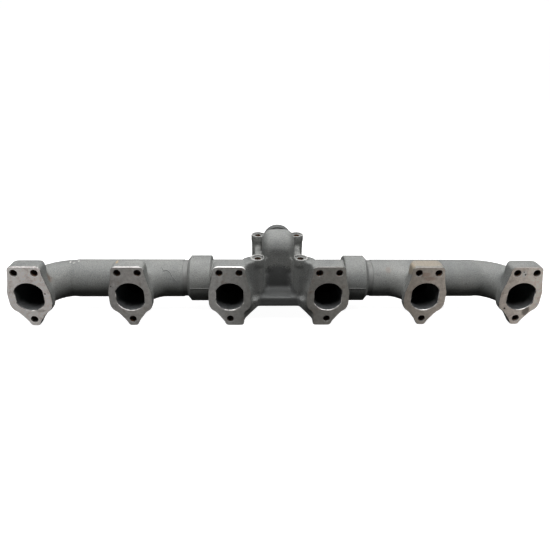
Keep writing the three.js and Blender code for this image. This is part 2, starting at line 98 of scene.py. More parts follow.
# ---- Slip joints ----
COLLAR_INNER_X = COLLAR_END_X - 41 * MM
COLLAR_R = 40.5 * MM
SOCKET_R = 32.8 * MM
SOCKET_FLOOR_X = COLLAR_END_X - 36.5 * MM
SPIGOT_R = 32.1 * MM
SPIGOT_SHOULDER_X = COLLAR_END_X + 8.5 * MM
GROOVE_R = 29.4 * MM
GROOVE_HALF = 1.8 * MM
RING_OUTER = 32.5 * MM
RING_INNER = 29.7 * MM

# ---- Middle body ----
BOLT_X = abs(mounts["turbo_bolt_seat_1"]["pos_m"][0]) - 7.6 * MM
FRONT_Y = mounts["turbo_bolt_seat_1"]["pos_m"][1]
BACK_Y = mounts["turbo_bolt_seat_3"]["pos_m"][1]
MIDDLE_Y = (FRONT_Y + BACK_Y) / 2
COLUMN_R = 12.3 * MM
SHAFT_R = 11.4 * MM
COLUMN_TOP_Z = SEAT_Z + 2 * MM
SPOT_FACE_R = 9.6 * MM
COLUMN_HOLE_R = 5.5 * MM
PLATE_THICK = 15 * MM
PLATE_MARGIN = 13 * MM
POCKET_HALF = 24.5 * MM
POCKET_BACK_Y = 44 * MM
DOME_HALF = (29 * MM, 31 * MM, 30 * MM)
DOME_SHOULDER_Z = 60 * MM
DOME_SQUARENESS = 0.43
WING_OUTER = (61 * MM, 7 * MM)
WING_TOP_Z = 61 * MM
WING_BEND = (50 * MM, 59 * MM)
WING_OUTER_TOP_Z = 54 * MM
WING_BACK_Y = 34 * MM
OUTLET_Z = 53.8 * MM
OUTLET_R = 25.6 * MM
OUTLET_NECK_R = 22 * MM
OUTLET_BORE = 16 * MM
THROAT_HALF = 26 * MM
THROAT_FRONT_Y = 51 * MM
THROAT_BACK_Y = 103 * MM
DIVIDER_HALF = 3.5 * MM
DIVIDER_TOP_Z = 26 * MM
DOME_WALL = 6.5 * MM
HOLLOW_FOOT_Z = -15 * MM
RIB_HALF = 6 * MM
RIB_TOP_Z = 40 * MM
BOSS_TALL = 12 * MM
BOSS_CUT = (7.5 * MM, 16 * MM)  # reach of the facing cutter towards the dome and away from it

# ---- How the castings are made ----
END_VOXEL = 1.7 * MM
END_FILLET = 7 * MM
MIDDLE_VOXEL = 1.4 * MM
MIDDLE_FILLET = 3.5 * MM
STOCK_Y = -1.2 * MM  # skin left on the head faces until they are ground flat
FACE_STOCK = 3 * MM  # the same under the turbocharger face
PORT_SIDES = 48
HOLE_SIDES = 40

# ---- Sorting and camera ----
SQUARE_ON = 0.99  # least share of a normal along its axis on a machined face
HEAD_SLACK = 0.05 * MM
FLAT_SLACK = 0.1 * MM
ROUND_SLACK = 0.2 * MM
SENSOR_WIDTH = 36
FOCAL_LENGTH = SENSOR_WIDTH * 495.8 / 550
CAMERA_ANGLES = (-2, 27, 0.92)  # turn, rise and roll in degrees
CAMERA_AIM = (-7.31 * MM, 0, 41.3 * MM)
CAMERA_FAR = 812.6
PAPER_GLOW = 0.97
FLOOR_DROP = 0.6 * MM


# ======== Shapes ========

def add_bar(bm, start, end, radius, end_radius=None, segments=64):
    """A round bar or cone between two points."""
    start, end = Vector(start), Vector(end)
    line = end - start
    turn = Vector((0, 0, 1)).rotation_difference(line.normalized()).to_matrix().to_4x4()
    place = Matrix.Translation((start + end) / 2) @ turn
    bmesh.ops.create_cone(
        bm, cap_ends=True, segments=segments, radius1=radius,
        radius2=radius if end_radius is None else end_radius, depth=line.length, matrix=place,
    )


def add_block(bm, low, high):
    """A square block between two corners."""
    low, high = Vector(low), Vector(high)
    place = Matrix.Translation((low + high) / 2) @ Matrix.Diagonal((*(high - low), 1))
    bmesh.ops.create_cube(bm, size=1, matrix=place)


def add_outline(bm, points, push):
    """A flat outline given thickness by pushing it along one direction."""
    face = bm.faces.new([bm.verts.new(point) for point in points])
    grown = bmesh.ops.extrude_face_region(bm, geom=[face])
    moved = [item for item in grown["geom"] if isinstance(item, bmesh.types.BMVert)]
    bmesh.ops.translate(bm, vec=push, verts=moved)


def add_elbow(bm, section, lead, centre, side, steps=16):
    """A section facing the head, pushed straight by lead, then bent a quarter turn along the pipe."""
    face = bm.faces.new([bm.verts.new(point) for point in section])
    grown = bmesh.ops.extrude_face_region(bm, geom=[face])
    moved = [item for item in grown["geom"] if isinstance(item, bmesh.types.BMVert)]
    bmesh.ops.translate(bm, vec=(0, lead, 0), verts=moved)
    last = [item for item in grown["geom"] if isinstance(item, bmesh.types.BMFace)]
    last = [item for item in last if all(vert in moved for vert in item.verts)]
    geometry = last + list(last[0].edges) + list(last[0].verts)
    bmesh.ops.spin(
        bm, geom=geometry, cent=centre, axis=(0, 0, -side), angle=math.pi / 2, steps=steps,
    )


def add_turned(bm, profile, segments=96):
    """A body turned on the pipe axis from (distance along X, radius) pairs."""
    verts = [bm.verts.new((x, PIPE_Y, radius)) for x, radius in profile]
    edges = [bm.edges.new((verts[k], verts[(k + 1) % len(verts)])) for k in range(len(verts))]
    bmesh.ops.spin(
        bm, geom=verts + edges, cent=(0, PIPE_Y, 0), axis=(1, 0, 0), angle=2 * math.pi,
        steps=segments, use_merge=True,
    )


def object_from(bm, name):
    bmesh.ops.remove_doubles(bm, verts=bm.verts, dist=1e-6)
    bmesh.ops.recalc_face_normals(bm, faces=bm.faces)
    mesh = bpy.data.meshes.new(name)
    bm.to_mesh(mesh)
    bm.free()
    obj = bpy.data.objects.new(name, mesh)
    bpy.context.scene.collection.objects.link(obj)
    return obj


def made(name, build):
    """An object from a function that fills a bmesh."""
    bm = bmesh.new()
    build(bm)
    return object_from(bm, name)


def drop(obj):
    mesh = obj.data
    bpy.data.objects.remove(obj)
    bpy.data.meshes.remove(mesh)


def settle(obj):
    """Applies the modifiers of an object to its mesh."""
    seen = obj.evaluated_get(bpy.context.evaluated_depsgraph_get())
    mesh = bpy.data.meshes.new_from_object(seen)
    old = obj.data
    obj.modifiers.clear()
    obj.data = mesh
    bpy.data.meshes.remove(old)


def voxel(obj, size):
    step = obj.modifiers.new("fuse", "REMESH")
    step.mode = "VOXEL"
    step.voxel_size = size


def swell(obj, amount):
    step = obj.modifiers.new("swell", "DISPLACE")
    step.direction = "NORMAL"
    step.mid_level = 0
    step.strength = amount


def fillet_casting(obj, size, radius, relax):
    """Fuses rough shapes into one skin and fills its inner corners, as foundry fillets do."""
    voxel(obj, size)
    swell(obj, radius)
    voxel(obj, size)
    swell(obj, -radius)
    voxel(obj, size)
    step = obj.modifiers.new("relax", "SMOOTH")
    step.factor = 0.5
    step.iterations = relax
    settle(obj)


def combine(obj, tool, operation):
    """Joins or cuts obj with a tool object, then removes the tool."""
    step = obj.modifiers.new("combine", "BOOLEAN")
    step.operation = operation
    step.solver = "MANIFOLD"
    step.object = tool
    settle(obj)
    drop(tool)


def mirrored(obj, name):
    """A copy on the other side of X = 0."""
    bm = bmesh.new()
    bm.from_mesh(obj.data)
    bmesh.ops.scale(bm, vec=(-1, 1, 1), verts=bm.verts)
    bmesh.ops.recalc_face_normals(bm, faces=bm.faces)
    mesh = bpy.data.meshes.new(name)
    bm.to_mesh(mesh)
    bm.free()
    copy = bpy.data.objects.new(name, mesh)
    bpy.context.scene.collection.objects.link(copy)
    return copy


# ======== Port flange ========

def bow(start, pull, end, steps=6):
    """Points along a curve from start to end, without its first point."""
    points = []
    for k in range(1, steps + 1):
        t = k / steps
        points.append(tuple(
            (1 - t) ** 2 * a + 2 * t * (1 - t) * b + t * t * c for a, b, c in zip(start, pull, end)
        ))
    return points


def flange_edge(square):
    """One side of the flange outline, from the top middle to the bottom middle."""
    corner = (HALF_TOP, FLANGE_TOP_Z - TOP_CORNER)
    shoulder = (HALF_WIDEST, SHOULDER_Z)
    points = [(HALF_TOP - TOP_CORNER, FLANGE_TOP_Z)]
    points += bow(points[-1], (HALF_TOP, FLANGE_TOP_Z), corner)
    points += bow(corner, WAIST, shoulder)
    foot = (HALF_WIDEST, SIDE_FOOT_Z)
    points.append(foot)
    points += bow(foot, (HALF_WIDEST, LUG_ROOT[1] + LUG_CORNER), LUG_ROOT)
    if square:
        points.append((SQUARE_LUG_X, LUG_ROOT[1] - LUG_CORNER))
        last = (SQUARE_LUG_X, FLANGE_FOOT_Z + LUG_CORNER)
        points.append(last)
        points += bow(last, (SQUARE_LUG_X, FLANGE_FOOT_Z), (SQUARE_LUG_X - LUG_CORNER, FLANGE_FOOT_Z))
    else:
        last = (LUG_TIP_X + LUG_CORNER / 2, FLANGE_FOOT_Z + 2 * LUG_CORNER)
        points.append(last)
        points += bow(last, (LUG_TIP_X, FLANGE_FOOT_Z), (LUG_TIP_X - LUG_CORNER, FLANGE_FOOT_Z))
    return points


def flange_outline(port_x, y, square_side):
    right = flange_edge(square_side > 0)
    left = [(-x, z) for x, z in reversed(flange_edge(square_side < 0))]
    return [(port_x + x, y, z) for x, z in right + left]


def bolt_block(port_x):
    """Bolt block along the top of a flange: round back corners, and an underside that slopes forwards."""
    start = 4 * MM
    block = made("block", lambda bm: add_outline(
        bm, flange_outline(port_x, start, 0), (0, BLOCK_DEPTH - start, 0),
    ))

    def plan(bm):
        half = HALF_TOP + 1.5 * MM
        points = rounded_plan(
            (port_x - half, -BLOCK_DEPTH), (port_x + half, BLOCK_DEPTH), BLOCK_CORNER, BLOCK_FOOT_Z,
        )
        add_outline(bm, points, (0, 0, 60 * MM))

    def side(bm):
        x, top, back = port_x - 40 * MM, FLANGE_TOP_Z + 1 * MM, BLOCK_DEPTH + 1 * MM
        add_outline(bm, [
            (x, 0, BLOCK_FOOT_Z), (x, FLANGE_THICK, BLOCK_FOOT_Z), (x, back, BLOCK_HEEL_Z),
            (x, back, top), (x, 0, top),
        ], (80 * MM, 0, 0))

    combine(block, made("plan", plan), "INTERSECT")
    combine(block, made("side", side), "INTERSECT")
    return block


def port_section(port_x, y, grow=0):
    """Port opening: round above and below, flat at the sides, with the corners between them eased."""
    radius, half_width = PORT_ROUND + grow, PORT_HALF_WIDTH + grow
    points = []
    for k in range(PORT_SIDES):
        angle = 2 * math.pi * (k + 0.5) / PORT_SIDES
        x, z = radius * math.cos(angle), radius * math.sin(angle)
        ease = half_width * (1 - 0.035 * (abs(z) / radius) ** 2)
        points.append((port_x + math.copysign(min(abs(x), ease), x), y, z))
    return points


def round_section(port_x, y, radius):
    angles = [2 * math.pi * k / PORT_SIDES for k in range(PORT_SIDES)]
    return [(port_x + radius * math.cos(a), y, radius * math.sin(a)) for a in angles]


def bend_lead(bend):
    return PIPE_Y - bend


def add_port(bm, port_x, side, bend, square_side):
    """Rough shape of a flange, its bolt block and its runner. side points along the gas flow."""
    add_outline(bm, flange_outline(port_x, STOCK_Y, square_side), (0, FLANGE_THICK - STOCK_Y, 0))
    block = bolt_block(port_x)
    bm.from_mesh(block.data)
    drop(block)
    radius, depth = LOWER_BOSS
    add_bar(bm, (port_x, 5 * MM, LOWER_BOLT_Z), (port_x, depth, LOWER_BOLT_Z), radius)
    start = 5 * MM
    add_elbow(
        bm, round_section(port_x, start, RUNNER_R), bend_lead(bend) - start,
        (port_x + side * bend, bend_lead(bend), 0), side,
    )


def passage_tool(bm, port_x, side, bend):
    """Gas passage of one port, from ahead of the head face to the pipe."""
    ahead = 3 * MM
    add_elbow(
        bm, port_section(port_x, -ahead), bend_lead(bend) + ahead,
        (port_x + side * bend, bend_lead(bend), 0), side,
    )


def mouth_tool(bm, port_x):
    """Small chamfer round the mouth of a port."""
    depth, lead = 0.9 * MM, 0.4 * MM
    near = [bm.verts.new(point) for point in port_section(port_x, -lead, depth + lead)]
    far = [bm.verts.new(point) for point in port_section(port_x, depth, 0)]
    bm.faces.new(near)
    bm.faces.new(far)
    count = len(near)
    rims = [
        bm.edges.get((ring[k], ring[(k + 1) % count])) for ring in (near, far) for k in range(count)
    ]
    bmesh.ops.bridge_loops(bm, edges=rims)


def bolt_tools(bm, port_x):
    """Head bolt holes of one port."""
    for x, z in head_bolt_places():
        add_bar(bm, (port_x + x, -2 * MM, z), (port_x + x, 45 * MM, z), BOLT_HOLE, segments=HOLE_SIDES)


def bolt_lead_tools(bm, port_x):
    """Chamfers at the mouths of the head bolt holes."""
    lead = 0.7 * MM
    for x, z in head_bolt_places():
        add_bar(
            bm, (port_x + x, -lead, z), (port_x + x, lead, z), BOLT_HOLE + 2 * lead, BOLT_HOLE,
            segments=HOLE_SIDES,
        )


def head_bolt_places():
    return ((-UPPER_BOLT[0], UPPER_BOLT[1]), UPPER_BOLT, (0, LOWER_BOLT_Z))


def cut_head_face(body, port_x):
    """Chamfered port mouth and bolt holes of one port."""
    combine(body, made("mouth", lambda bm: mouth_tool(bm, port_x)), "DIFFERENCE")
    combine(body, made("bolts", lambda bm: bolt_tools(bm, port_x)), "DIFFERENCE")
    combine(body, made("leads", lambda bm: bolt_lead_tools(bm, port_x)), "DIFFERENCE")


def face_off(obj, point, normal):
    """Cuts away everything ahead of a plane and closes the cut."""
    bm = bmesh.new()
    bm.from_mesh(obj.data)
    cut = bmesh.ops.bisect_plane(
        bm, geom=list(bm.verts) + list(bm.edges) + list(bm.faces), dist=1e-7,
        plane_co=point, plane_no=normal, clear_outer=True,
    )
    rim = [item for item in cut["geom_cut"] if isinstance(item, bmesh.types.BMEdge)]
    bmesh.ops.holes_fill(bm, edges=rim, sides=0)
    bmesh.ops.triangulate(bm, faces=[face for face in bm.faces if len(face.verts) > 4])
    bm.to_mesh(obj.data)
    bm.free()


# ======== End casting ========

def end_casting():
    """The right-hand end casting: two ports, pipe and turned spigot."""
    outer, inner = PORT_X[5], PORT_X[4]

    def rough(bm):
        add_bar(bm, (SPIGOT_SHOULDER_X - 6 * MM, PIPE_Y, 0), (outer - BEND_R, PIPE_Y, 0), PIPE_R)
        add_port(bm, outer, -1, BEND_R, 0)
        add_port(bm, inner, -1, BEND_R, 0)

    body = made("end_casting", rough)
    fillet_casting(body, END_VOXEL, END_FILLET, 5)
    face_off(body, (0, 0, 0), (0, -1, 0))
    face_off(body, (SPIGOT_SHOULDER_X, 0, 0), (-1, 0, 0))

    def spigot(bm):
        step = 1.2 * MM
        add_turned(bm, [
            (SPIGOT_TIP_X, 20 * MM), (SPIGOT_TIP_X, SPIGOT_R - step), (SPIGOT_TIP_X + step, SPIGOT_R),
            (SPIGOT_SHOULDER_X + step, SPIGOT_R), (SPIGOT_SHOULDER_X + step, 20 * MM),
        ])

    combine(body, made("spigot", spigot), "UNION")

    def bore(bm):
        add_bar(bm, (SPIGOT_TIP_X - 5 * MM, PIPE_Y, 0), (outer - BEND_R, PIPE_Y, 0), PIPE_BORE)

    combine(body, made("bore", bore), "DIFFERENCE")
    for port_x in (outer, inner):
        combine(body, made("passage", lambda bm, x=port_x: passage_tool(bm, x, -1, BEND_R)), "DIFFERENCE")
        cut_head_face(body, port_x)
    for index in range(3):
        centre = ring_x(index)

        def groove(bm, x=centre):
            add_turned(bm, [
                (x - GROOVE_HALF, GROOVE_R), (x + GROOVE_HALF, GROOVE_R),
                (x + GROOVE_HALF, PIPE_R + 5 * MM), (x - GROOVE_HALF, PIPE_R + 5 * MM),
            ])

        combine(body, made("groove", groove), "DIFFERENCE")
    return body


def ring_x(index):
    low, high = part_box(f"right_seal_ring_{index + 1}")
    return (low.x + high.x) / 2


def add_casting_vein(obj):
    """A raised wandering vein in the skin of the left-hand pipe."""
    radius = 0.9 * MM
    line = ((-202, 29), (-198, 25), (-192.5, 25.8), (-187.5, 23.6), (-183, 17), (-176.5, 10))
    places = []
    for x, z in line:
        y = PIPE_Y - math.sqrt(PIPE_R ** 2 - (z * MM) ** 2)
        places.append(Vector((x * MM, y, z * MM)))

    def vein(bm):
        for start, end in zip(places, places[1:]):
            add_bar(bm, start, end, radius, segments=12)
        for place in places:
            bmesh.ops.create_icosphere(bm, subdivisions=2, radius=radius, matrix=Matrix.Translation(place))

    rope = made("vein", vein)
    voxel(rope, 0.4 * MM)
    settle(rope)
    combine(obj, rope, "UNION")


def sealing_ring(index):
    """One split ring with eased edges; the gaps of neighbouring rings are turned a third of a turn."""
    centre, half, ease = ring_x(index), 1.5 * MM, 0.35 * MM

    def band(bm):
        add_turned(bm, [
            (centre - half, RING_INNER + ease), (centre - half, RING_OUTER - ease),
            (centre - half + ease, RING_OUTER), (centre + half - ease, RING_OUTER),
            (centre + half, RING_OUTER - ease), (centre + half, RING_INNER + ease),
            (centre + half - ease, RING_INNER), (centre - half + ease, RING_INNER),
        ])

    def gap(bm):
        add_block(
            bm, (centre - 3 * MM, -0.8 * MM, RING_INNER - 1 * MM),
            (centre + 3 * MM, 0.8 * MM, RING_OUTER + 1 * MM),
        )
        turn = Matrix.Rotation(index * 2 * math.pi / 3, 4, "X")
        bmesh.ops.transform(bm, matrix=Matrix.Translation((0, PIPE_Y, 0)) @ turn, verts=bm.verts)

    ring = made(f"right_sealing_ring_{index + 1}", band)
    combine(ring, made("gap", gap), "DIFFERENCE")
    return ring


# ======== Middle casting ========

def rounded_plan(low, high, corner, z, steps=6):
    """Rectangle with round corners in plan."""
    points = []
    corners = (
        (high[0] - corner, high[1] - corner, 0), (low[0] + corner, high[1] - corner, 1),
        (low[0] + corner, low[1] + corner, 2), (high[0] - corner, low[1] + corner, 3),
    )
    for x, y, quarter in corners:
        for k in range(steps + 1):
            angle = math.pi / 2 * (quarter + k / steps)
            points.append((x + corner * math.cos(angle), y + corner * math.sin(angle), z))
    return points


def wing(side):
    """Wall from a middle port round the front column; its top rises to the column and falls to the pipe."""
    outer_x = WING_OUTER[0]

    def plan(bm):
        round_column = (BOLT_X, FRONT_Y - COLUMN_R - 1 * MM)
        points = [WING_OUTER] + bow(WING_OUTER, round_column, (POCKET_HALF, FRONT_Y), 12)
        points += [(POCKET_HALF, PIPE_Y), (outer_x, PIPE_Y)]
        add_outline(bm, [(side * x, y, TURBO_FACE_Z) for x, y in points], (0, 0, 90 * MM))

    def along(bm):
        add_outline(bm, [(side * x, 0, z) for x, z in (
            (0, TURBO_FACE_Z - 1 * MM), (outer_x + 1 * MM, TURBO_FACE_Z - 1 * MM),
            (outer_x + 1 * MM, WING_OUTER_TOP_Z), WING_BEND, (BOLT_X, WING_TOP_Z), (0, WING_TOP_Z),
        )], (0, PIPE_Y + 5 * MM, 0))

    def fall(bm):
        add_outline(bm, [(-80 * MM, y, z) for y, z in (
            (-1 * MM, TURBO_FACE_Z - 2 * MM), (PIPE_Y + 2 * MM, TURBO_FACE_Z - 2 * MM),
            (PIPE_Y + 2 * MM, -15 * MM), (WING_BACK_Y, WING_TOP_Z + 1 * MM), (-1 * MM, WING_TOP_Z + 1 * MM),
        )], (160 * MM, 0, 0))

    wall = made("wing", plan)
    combine(wall, made("along", along), "INTERSECT")
    combine(wall, made("fall", fall), "INTERSECT")
    return wall


def add_gusset(bm, side):
    """Web that ties a middle lug to the turbocharger flange."""
    lug_x = PITCH / 2 - SQUARE_LUG_X
    start = (side * BOLT_X, TURBO_FACE_Z + PLATE_THICK)
    outline = [start, (side * (lug_x + LUG_CORNER), TURBO_FACE_Z + LUG_CORNER)]
    low = (side * (lug_x + LUG_CORNER), FLANGE_FOOT_Z + LUG_CORNER)
    outline.append(low)
    outline += bow(low, (side * (lug_x - LUG_CORNER), LOWER_BOLT_Z), (side * BOLT_X, TURBO_FACE_Z))
    add_outline(bm, [(x, LUG_CORNER, z) for x, z in outline], (0, FLANGE_THICK, 0))


def squared(verts):
    """Fuller shoulders across the engine for a round shape of radius 1."""
    for vert in verts:
        vert.co.x = math.copysign(abs(vert.co.x) ** DOME_SQUARENESS, vert.co.x)


def dome(shrink, foot_z):
    """Loaf-shaped chamber, round from front to back; shrink is the wall left outside a hollow one."""
    wide, deep, tall = (size - shrink for size in DOME_HALF)
    depth = DOME_SHOULDER_Z - foot_z

    def cap(bm):
        verts = bmesh.ops.create_uvsphere(bm, u_segments=64, v_segments=32, radius=1)["verts"]
        squared(verts)
        bmesh.ops.scale(bm, vec=(wide, deep, tall), verts=verts)
        bmesh.ops.translate(bm, vec=(0, MIDDLE_Y, DOME_SHOULDER_Z), verts=verts)

    def barrel(bm):
        verts = bmesh.ops.create_cone(
            bm, cap_ends=True, segments=64, radius1=1, radius2=1, depth=depth,
        )["verts"]
        squared(verts)
        bmesh.ops.scale(bm, vec=(wide, deep, 1), verts=verts)
        bmesh.ops.translate(bm, vec=(0, MIDDLE_Y, foot_z + depth / 2), verts=verts)

    chamber = made("dome", cap)
    combine(chamber, made("barrel", barrel), "UNION")
    return chamber


def middle_hollow():
    """Everything the gas passes through in the middle body."""
    end = SOCKET_FLOOR_X + 1 * MM
    hollow = made("bore", lambda bm: add_bar(bm, (-end, PIPE_Y, 0), (end, PIPE_Y, 0), PIPE_BORE))
    combine(hollow, made("under", lambda bm: add_block(
        bm, (-54 * MM, 0, -PIPE_R), (54 * MM, BACK_Y, HOLLOW_FOOT_Z),
    )), "DIFFERENCE")
    combine(hollow, dome(DOME_WALL, HOLLOW_FOOT_Z), "UNION")
    combine(hollow, made("ahead", lambda bm: add_block(
        bm, (-THROAT_HALF - DOME_WALL, 0, -PIPE_R), (THROAT_HALF + DOME_WALL, THROAT_FRONT_Y, COLUMN_TOP_Z),
    )), "DIFFERENCE")
    throat = rounded_plan(
        (-THROAT_HALF, THROAT_FRONT_Y), (THROAT_HALF, THROAT_BACK_Y), 8 * MM, TURBO_FACE_Z - 2 * MM,
    )
    combine(hollow, made("throat", lambda bm: add_outline(
        bm, throat, (0, 0, 2 * MM - TURBO_FACE_Z),
    )), "UNION")
    combine(hollow, made("outlet", lambda bm: add_bar(
        bm, (0, MIDDLE_Y, OUTLET_Z), (0, OUTLET_FACE_Y + 4 * MM, OUTLET_Z), OUTLET_BORE,
    )), "UNION")
    combine(hollow, made("divider", lambda bm: add_block(
        bm, (-DIVIDER_HALF, 0, TURBO_FACE_Z - 4 * MM), (DIVIDER_HALF, BACK_Y, DIVIDER_TOP_Z),
    )), "DIFFERENCE")
    return hollow


def middle_casting():
    """The middle casting: two ports, collars, bolt columns, turbocharger flange, dome and outlet."""
    port = PITCH / 2

    def rough(bm):
        add_bar(bm, (-COLLAR_INNER_X - 2 * MM, PIPE_Y, 0), (COLLAR_INNER_X + 2 * MM, PIPE_Y, 0), PIPE_R)
        add_port(bm, port, -1, MIDDLE_BEND_R, -1)
        add_port(bm, -port, 1, MIDDLE_BEND_R, 1)
        for side in (-1, 1):
            wall = wing(side)
            bm.from_mesh(wall.data)
            drop(wall)
            add_gusset(bm, side)
            x = side * BOLT_X
            for y in (FRONT_Y, BACK_Y):
                add_bar(bm, (x, y, TURBO_FACE_Z - FACE_STOCK), (x, y, COLUMN_TOP_Z - BOSS_TALL / 2), SHAFT_R)
                add_bar(bm, (x, y, COLUMN_TOP_Z - BOSS_TALL), (x, y, COLUMN_TOP_Z + 1.5 * MM), COLUMN_R)
            add_block(
                bm, (x - RIB_HALF, PIPE_Y, TURBO_FACE_Z), (x + RIB_HALF, BACK_Y, RIB_TOP_Z),
            )
        shell = dome(0, TURBO_FACE_Z)
        bm.from_mesh(shell.data)
        drop(shell)
        add_bar(bm, (0, MIDDLE_Y, OUTLET_Z), (0, OUTLET_FACE_Y - 2 * MM, OUTLET_Z), OUTLET_NECK_R)

    body = made("middle_casting", rough)
    voxel(body, MIDDLE_VOXEL)
    settle(body)

    def below_face(bm):
        reach = BOLT_X + PLATE_MARGIN + 1 * MM
        add_block(bm, (-reach, FLANGE_THICK, -90 * MM), (reach, BACK_Y + 40 * MM, TURBO_FACE_Z - FACE_STOCK))

    def pocket(bm):
        plan = rounded_plan(
            (-POCKET_HALF, -POCKET_BACK_Y), (POCKET_HALF, POCKET_BACK_Y), 11 * MM,
            TURBO_FACE_Z - FACE_STOCK,
        )
        add_outline(bm, plan, (0, 0, 130 * MM))

    def plate(bm):
        reach = BOLT_X + PLATE_MARGIN
        plan = rounded_plan(
            (-reach, FRONT_Y - PLATE_MARGIN), (reach, BACK_Y + PLATE_MARGIN), PLATE_MARGIN,
            TURBO_FACE_Z - FACE_STOCK,
        )
        add_outline(bm, plan, (0, 0, PLATE_THICK + FACE_STOCK))

    combine(body, made("below", below_face), "DIFFERENCE")
    combine(body, made("pocket", pocket), "DIFFERENCE")
    combine(body, made("plate", plate), "UNION")
    fillet_casting(body, MIDDLE_VOXEL, MIDDLE_FILLET, 4)
    face_off(body, (0, 0, 0), (0, -1, 0))
    for side in (-1, 1):
        collar = made("collar", lambda bm, s=side: add_collar(bm, s))
        for y in (PIPE_Y - COLLAR_R, PIPE_Y + COLLAR_R):
            combine(collar, made("seam", lambda bm, s=side, a=y: add_bar(
                bm, (s * (COLLAR_INNER_X + 1 * MM), a, 0), (s * (COLLAR_END_X - 6 * MM), a, 0), 0.7 * MM,
                segments=12,
            )), "UNION")
        combine(body, collar, "UNION")
    combine(body, made("outlet", add_outlet), "UNION")
    combine(body, made("face", turbo_face_tool), "DIFFERENCE")
    for x, y in bolt_places():
        combine(body, made("level", lambda bm, a=x, b=y: boss_facing_tool(bm, a, b)), "DIFFERENCE")
        combine(body, made("seat", lambda bm, a=x, b=y: spot_face_tool(bm, a, b)), "DIFFERENCE")
        combine(body, made("column", lambda bm, a=x, b=y: column_hole_tool(bm, a, b)), "DIFFERENCE")
    for side in (-1, 1):
        def socket(bm, s=side):
            lead = 1.5 * MM
            add_turned(bm, [
                (s * SOCKET_FLOOR_X, 0), (s * SOCKET_FLOOR_X, SOCKET_R),
                (s * (COLLAR_END_X - lead), SOCKET_R), (s * COLLAR_END_X, SOCKET_R + lead),
                (s * (COLLAR_END_X + lead), SOCKET_R + 2 * lead), (s * (COLLAR_END_X + lead), 0),
            ])

        combine(body, made("socket", socket), "DIFFERENCE")
    combine(body, middle_hollow(), "DIFFERENCE")
    for side in (-1, 1):
        x = -side * port
        passage = made("passage", lambda bm, a=x, s=side: passage_tool(bm, a, s, MIDDLE_BEND_R))
        combine(body, passage, "DIFFERENCE")
        cut_head_face(body, x)
    return body


def bolt_places():
    return [(x, y) for y in (FRONT_Y, BACK_Y) for x in (-BOLT_X, BOLT_X)]


def add_spun(bm, profile, centre, segments=72):
    """A body turned about an axis along Y from (Y, radius) pairs."""
    verts = [bm.verts.new((centre[0] + radius, y, centre[1])) for y, radius in profile]
    edges = [bm.edges.new((verts[k], verts[(k + 1) % len(verts)])) for k in range(len(verts))]
    bmesh.ops.spin(
        bm, geom=verts + edges, cent=(centre[0], 0, centre[1]), axis=(0, 1, 0), angle=2 * math.pi,
        steps=segments, use_merge=True,
    )


def add_outlet(bm):
    """Round flange of the rear outlet, with eased rims."""
    back, front, ease = OUTLET_FACE_Y, OUTLET_FACE_Y - 12 * MM, 1.2 * MM
    add_spun(bm, [
        (front, OUTLET_BORE - 4 * MM), (front, OUTLET_R - ease), (front + ease, OUTLET_R),
        (back - ease, OUTLET_R), (back, OUTLET_R - ease), (back, OUTLET_BORE - 4 * MM),
    ], (0, OUTLET_Z))


def turbo_face_tool(bm):
    """Cutter that leaves the turbocharger face flat."""
    reach = BOLT_X + PLATE_MARGIN + 5 * MM
    add_block(bm, (-reach, FLANGE_THICK + 1 * MM, -90 * MM), (reach, BACK_Y + 40 * MM, TURBO_FACE_Z))


def column_hole_tool(bm, x, y):
    """Through hole of a bolt column."""
    low, high = TURBO_FACE_Z - 5 * MM, COLUMN_TOP_Z + 5 * MM
    add_bar(bm, (x, y, low), (x, y, high), COLUMN_HOLE_R, segments=HOLE_SIDES)


def spot_face_tool(bm, x, y):
    """Counterbore in the top of a bolt column."""
    add_bar(bm, (x, y, SEAT_Z), (x, y, COLUMN_TOP_Z + 4 * MM), SPOT_FACE_R, segments=PORT_SIDES)


def boss_facing_tool(bm, x, y):
    """Cutter that levels the top of a bolt column, clear of the dome beside it."""
    inner, outer = BOSS_CUT
    away = math.copysign(1, x)
    ends = sorted((x + away * outer, x - away * inner))
    add_block(
        bm, (ends[0], y - outer, COLUMN_TOP_Z), (ends[1], y + outer, COLUMN_TOP_Z + 8 * MM),
    )


def add_collar(bm, side):
    """Socket collar at one end of the middle casting, before its bore is cut."""
    edge = 1.6 * MM
    add_turned(bm, [
        (side * COLLAR_INNER_X, 0), (side * COLLAR_INNER_X, COLLAR_R - edge),
        (side * (COLLAR_INNER_X + edge), COLLAR_R),
        (side * (COLLAR_END_X - 5.3 * MM), COLLAR_R),
        (side * COLLAR_END_X, COLLAR_R - 6.4 * MM), (side * COLLAR_END_X, 0),
    ])


# ======== Finishes ========

def add_node(tree, kind, links=None, **settings):
    """A node with its settings, and its inputs set to a value or joined to another node's output."""
    node = tree.nodes.new(kind)
    for name, value in settings.items():
        setattr(node, name, value)
    for name, value in (links or {}).items():
        socket = node.inputs[name]
        if isinstance(value, bpy.types.NodeSocket):
            tree.links.new(value, socket)
        else:
            socket.default_value = value
    return node


def new_finish(name, rough, metal):
    material = bpy.data.materials.new(name)
    material.use_nodes = True
    tree = material.node_tree
    shader = tree.nodes["Principled BSDF"]
    shader.inputs["Roughness"].default_value = rough
    shader.inputs["Metallic"].default_value = metal
    place = add_node(tree, "ShaderNodeTexCoord").outputs["Object"]
    return material, tree, shader, place


def noise(tree, place, scale, detail=3, rough=0.5):
    links = {"Vector": place, "Scale": scale, "Detail": detail, "Roughness": rough}
    return add_node(tree, "ShaderNodeTexNoise", links).outputs["Fac"]


